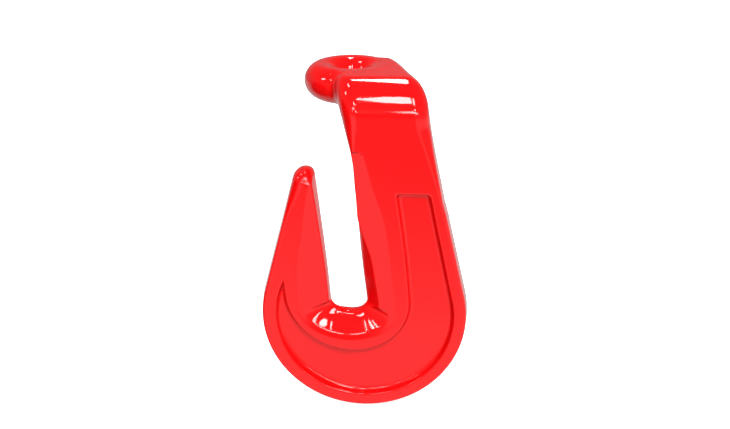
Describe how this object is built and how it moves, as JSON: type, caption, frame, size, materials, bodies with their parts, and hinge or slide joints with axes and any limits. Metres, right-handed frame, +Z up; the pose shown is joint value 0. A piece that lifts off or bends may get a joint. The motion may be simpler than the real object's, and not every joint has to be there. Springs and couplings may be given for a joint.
{
  "type": "safety chain hook",
  "caption": "One-piece forged safety chain hook with a level eye, a bent neck, a leaning shank and a round bowl whose upright point leaves a slot for chain; red paint.",
  "frame": {"origin": "centre of the eye, on the bore's axis and half way up the eye's stock", "axes": "+Z up along the eye's bore, +X across the hook from the point to the shank, +Y from the hook's front face to its back face"},
  "size_m": [0.0956, 0.0606, 0.1579],
  "materials": {
    "red_paint": "glossy red paint over forged steel"
  },
  "bodies": {
    "root": {"hook_forging": "red_paint"}
  },
  "joints": []
}
